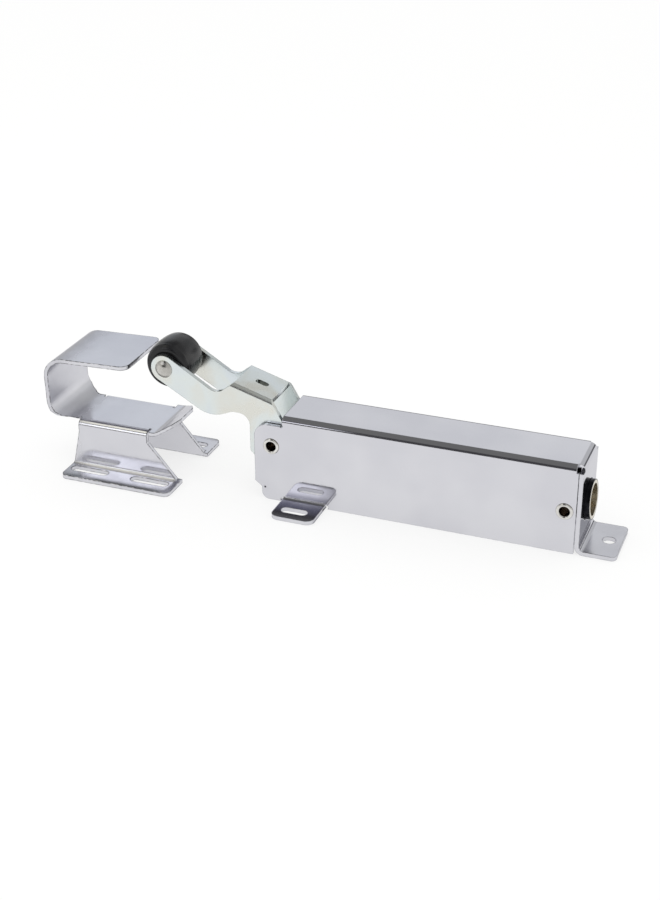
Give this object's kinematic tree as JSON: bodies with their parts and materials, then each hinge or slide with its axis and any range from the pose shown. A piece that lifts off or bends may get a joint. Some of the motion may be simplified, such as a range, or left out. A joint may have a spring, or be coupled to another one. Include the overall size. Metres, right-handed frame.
{
  "type": "hydraulic door closer",
  "caption": "Surface-mounted hydraulic door closer: folded chromed housing, sprung lever arm with a rubber roller, and the separate strike hook that the roller runs into.",
  "frame": {"origin": "on the mounting plane, midway between the slots of the two side tabs", "axes": "+X along the housing from the arm end to the end tab, +Y across it, +Z out of the mounting plane"},
  "size_m": [0.398, 0.0914, 0.0986],
  "materials": {
    "housing": "bright chrome-plated folded sheet steel",
    "strike_hook": "bright chrome-plated folded sheet steel",
    "pivot_rivet": "bright nickel-plated hollow rivet",
    "rear_rivet": "bright nickel-plated hollow rivet",
    "lever_arm": "zinc-plated sheet steel, satin",
    "pivot_bush": "turned bronze",
    "crank_pin": "ground steel",
    "roller_axle": "bright steel with a domed head",
    "roller_tyre": "hard black rubber, slightly glossy",
    "roller_bush": "turned bronze",
    "rear_cap": "turned steel",
    "rear_spacers": "turned steel",
    "cylinder_tube": "black-coated steel tube",
    "front_gland": "turned steel",
    "rod_seal": "nitrile rubber",
    "cap_seal": "nitrile rubber",
    "gland_seal": "nitrile rubber",
    "piston_rod": "ground and chromed steel",
    "piston": "turned steel",
    "piston_ring": "filled PTFE",
    "piston_nut": "zinc-plated steel",
    "rod_eye": "turned steel",
    "lock_nut": "zinc-plated steel",
    "spring_collar": "turned steel",
    "main_spring": "oil-tempered spring wire",
    "speed_screw": "turned brass"
  },
  "bodies": {
    "housing": {"housing": "housing", "pivot_rivet": "pivot_rivet", "rear_rivet": "rear_rivet", "rear_spacers": "rear_spacers", "rear_cap": "rear_cap", "cap_seal": "cap_seal", "cylinder_tube": "cylinder_tube", "front_gland": "front_gland", "gland_seal": "gland_seal", "rod_seal": "rod_seal", "main_spring": "main_spring", "strike_hook": "strike_hook"},
    "arm": {"lever_arm": "lever_arm", "pivot_bush": "pivot_bush", "crank_pin": "crank_pin", "roller_axle": "roller_axle"},
    "roller": {"roller_tyre": "roller_tyre", "roller_bush": "roller_bush"},
    "rod": {"piston_rod": "piston_rod", "piston": "piston", "piston_ring": "piston_ring", "piston_nut": "piston_nut", "rod_eye": "rod_eye", "lock_nut": "lock_nut", "spring_collar": "spring_collar"},
    "speed_screw": {"speed_screw": "speed_screw"}
  },
  "joints": [
    {"name": "arm_pivot", "type": "hinge", "parent": "housing", "child": "arm", "pos_m": [-0.022, 0, 0.04], "axis": [0, -1, 0], "range_deg": [0, 18], "stiffness_Nm_per_rad": 2, "springref_deg": -20.05},
    {"name": "roller_spin", "type": "hinge", "parent": "arm", "child": "roller", "pos_m": [-0.1001, 0, 0.0823], "axis": [0, 1, 0], "continuous": true},
    {"name": "rod_slide", "type": "slide", "parent": "housing", "child": "rod", "axis": [0.9988, 0, 0.048], "range_m": [0, 0.00638], "deforming": ["main_spring"]},
    {"name": "speed_screw_turn", "type": "hinge", "parent": "housing", "child": "speed_screw", "pos_m": [0.17615, 0, 0.03679], "axis": [0.9988, 0, 0.048], "range_deg": [-180, 180]}
  ],
  "couplings": [
    {"joint": "rod_slide", "follows": "arm_pivot", "m_per_rad": 0.020002}
  ]
}
